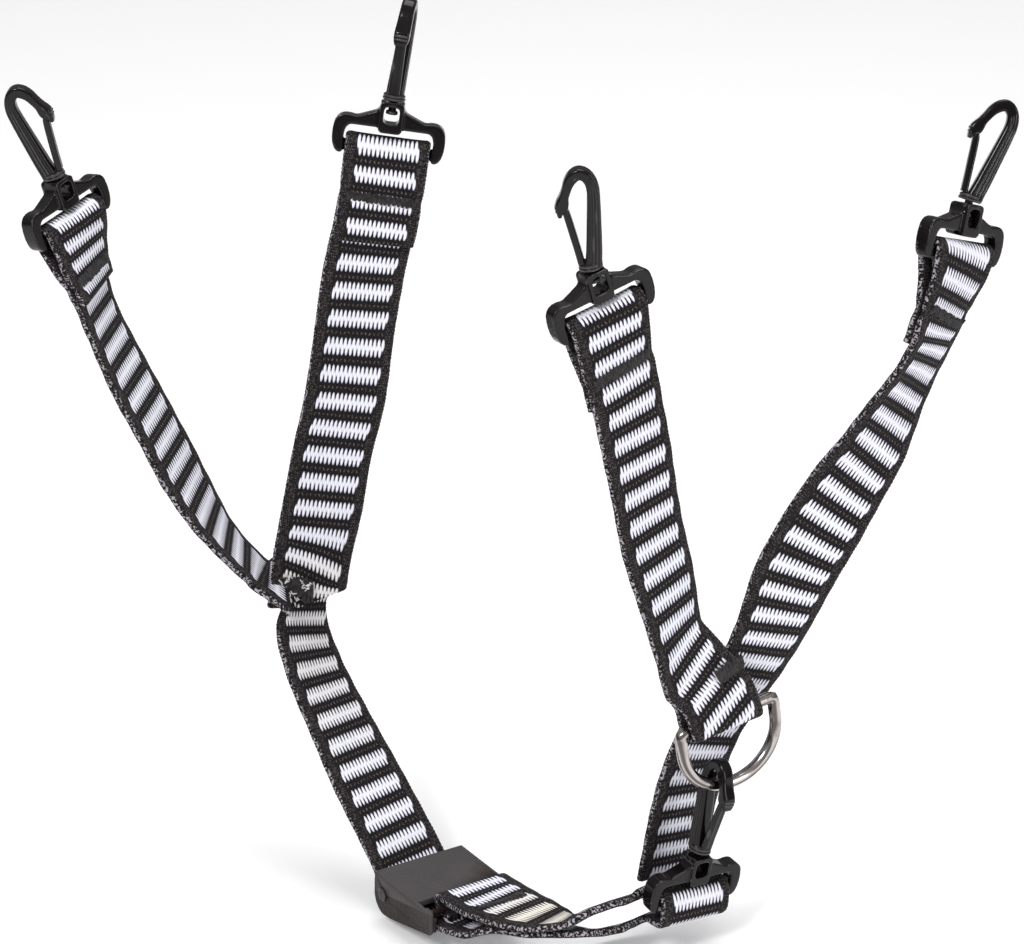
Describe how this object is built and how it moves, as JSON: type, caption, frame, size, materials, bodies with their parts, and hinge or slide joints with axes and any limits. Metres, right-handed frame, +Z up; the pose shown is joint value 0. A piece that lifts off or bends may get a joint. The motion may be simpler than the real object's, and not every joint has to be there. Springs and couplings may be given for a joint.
{
  "type": "helmet chin strap",
  "caption": "Four-point helmet chin strap: striped webbing arms with swivel snap hooks, a cam buckle on the adjustable chin loop, and a clip-on D-ring junction.",
  "frame": {"origin": "inside the crook of the left rear hook, where one of the four hooks that hold the strap hangs on a helmet's suspension", "axes": "+Z up as worn and hanging, +X towards the right-hand arms, -Y towards the front of the wearer's face"},
  "size_m": [0.2204, 0.0824, 0.2064],
  "materials": {
    "webbing": "woven black webbing with white stripes",
    "black_acetal": "glossy moulded",
    "buckle_plastic": "satin, finely textured",
    "chrome_wire": "polished",
    "sewing_thread": "thread"
  },
  "bodies": {
    "left_webbing": {"left_front_strap": "webbing", "left_rear_strap": "webbing", "chin_strap": "webbing", "buckle_body": "buckle_plastic", "pivot_pin": "black_acetal", "stitch_left_front": "sewing_thread", "stitch_left_rear": "sewing_thread", "stitch_left_junction": "sewing_thread", "stitch_adjuster": "sewing_thread"},
    "cam": {"cam_lever": "buckle_plastic"},
    "ring": {"d_ring": "chrome_wire"},
    "right_webbing": {"right_front_strap": "webbing", "right_rear_strap": "webbing", "stitch_right_front": "sewing_thread", "stitch_right_rear": "sewing_thread", "stitch_right_junction": "sewing_thread"},
    "frame_left_front": {"frame_left_front": "black_acetal"},
    "hook_left_front": {"hook_left_front": "black_acetal"},
    "gate_left_front": {"gate_left_front": "black_acetal"},
    "frame_left_rear": {"frame_left_rear": "black_acetal"},
    "hook_left_rear": {"hook_left_rear": "black_acetal"},
    "gate_left_rear": {"gate_left_rear": "black_acetal"},
    "frame_right_front": {"frame_right_front": "black_acetal"},
    "hook_right_front": {"hook_right_front": "black_acetal"},
    "gate_right_front": {"gate_right_front": "black_acetal"},
    "frame_right_rear": {"frame_right_rear": "black_acetal"},
    "hook_right_rear": {"hook_right_rear": "black_acetal"},
    "gate_right_rear": {"gate_right_rear": "black_acetal"},
    "frame_loop": {"frame_loop": "black_acetal"},
    "hook_loop": {"hook_loop": "black_acetal"},
    "gate_loop": {"gate_loop": "black_acetal"}
  },
  "joints": [
    {"name": "cam_lift", "type": "hinge", "parent": "left_webbing", "child": "cam", "pos_m": [0.00357, -0.04034, -0.1953], "axis": [-0.8286, -0.5591, 0.03], "range_deg": [0, 30]},
    {"name": "frame_tilt_left_front", "type": "hinge", "parent": "left_webbing", "child": "frame_left_front", "pos_m": [-0.0759, -0.0071, -0.0445], "axis": [0.581, 0.7944, 0.1773], "range_deg": [-45, 45]},
    {"name": "swivel_left_front", "type": "hinge", "parent": "frame_left_front", "child": "hook_left_front", "pos_m": [-0.07862, -0.00755, -0.03373], "axis": [-0.2957, -0.0399, 0.9545], "continuous": true},
    {"name": "gate_flex_left_front", "type": "hinge", "parent": "hook_left_front", "child": "gate_left_front", "pos_m": [-0.07742, -0.00767, -0.03085], "axis": [0, -0.9991, -0.0418], "range_deg": [0, 10], "stiffness_Nm_per_rad": 0.02},
    {"name": "frame_tilt_left_rear", "type": "hinge", "parent": "left_webbing", "child": "frame_left_rear", "pos_m": [-0.0045, -0.0045, -0.0281], "axis": [0.9906, -0.0172, -0.1358], "range_deg": [-45, 45]},
    {"name": "swivel_left_rear", "type": "hinge", "parent": "frame_left_rear", "child": "hook_left_rear", "pos_m": [-0.00296, -0.00289, -0.01727], "axis": [0.1661, 0.1447, 0.9754], "continuous": true},
    {"name": "gate_flex_left_rear", "type": "hinge", "parent": "hook_left_rear", "child": "gate_left_rear", "pos_m": [-0.00281, -0.0045, -0.01459], "axis": [-0.9785, 0.1468, 0.1448], "range_deg": [0, 10], "stiffness_Nm_per_rad": 0.02},
    {"name": "frame_tilt_right_front", "type": "hinge", "parent": "right_webbing", "child": "frame_right_front", "pos_m": [0.0428, -0.0617, -0.0454], "axis": [0.8317, 0.4997, 0.2419], "range_deg": [-45, 45]},
    {"name": "swivel_right_front", "type": "hinge", "parent": "frame_right_front", "child": "hook_right_front", "pos_m": [0.04005, -0.06223, -0.03462], "axis": [-0.1855, -0.0482, 0.9815], "continuous": true},
    {"name": "gate_flex_right_front", "type": "hinge", "parent": "hook_right_front", "child": "gate_right_front", "pos_m": [0.03764, -0.06233, -0.03264], "axis": [0, 0.9988, 0.049], "range_deg": [0, 10], "stiffness_Nm_per_rad": 0.02},
    {"name": "frame_tilt_right_rear", "type": "hinge", "parent": "right_webbing", "child": "frame_right_rear", "pos_m": [0.1186, -0.0479, -0.0366], "axis": [0.7129, 0.6165, -0.3342], "range_deg": [-45, 45]},
    {"name": "swivel_right_rear", "type": "hinge", "parent": "frame_right_rear", "child": "hook_right_rear", "pos_m": [0.12086, -0.04467, -0.02609], "axis": [0.3017, 0.2799, 0.9114], "continuous": true},
    {"name": "gate_flex_right_rear", "type": "hinge", "parent": "hook_right_rear", "child": "gate_right_rear", "pos_m": [0.11967, -0.04382, -0.02333], "axis": [0, 0.9559, -0.2936], "range_deg": [0, 10], "stiffness_Nm_per_rad": 0.02},
    {"name": "frame_tilt_loop", "type": "hinge", "parent": "left_webbing", "child": "frame_loop", "pos_m": [0.0639, -0.0586, -0.1882], "axis": [0.8216, 0.5611, -0.1002], "range_deg": [-1.5, 6]},
    {"name": "swivel_loop", "type": "hinge", "parent": "frame_loop", "child": "hook_loop", "pos_m": [0.06577, -0.05898, -0.17669], "axis": [0.236, 0.0301, 0.9713], "range_deg": [-12, 12]},
    {"name": "gate_flex_loop", "type": "hinge", "parent": "hook_loop", "child": "gate_loop", "pos_m": [0.06754, -0.06048, -0.1746], "axis": [-0.76, -0.6171, 0.2039], "range_deg": [0, 10], "stiffness_Nm_per_rad": 0.02},
    {"name": "ring_swing", "type": "hinge", "parent": "hook_loop", "child": "ring", "pos_m": [0.06976, -0.05817, -0.15936], "axis": [0.8502, 0.5101, 0.13], "range_deg": [0, 10]},
    {"name": "junction_swing", "type": "hinge", "parent": "ring", "child": "right_webbing", "pos_m": [0.0701, -0.0573, -0.1435], "axis": [0.8502, 0.5101, 0.13], "range_deg": [0, 12]}
  ]
}
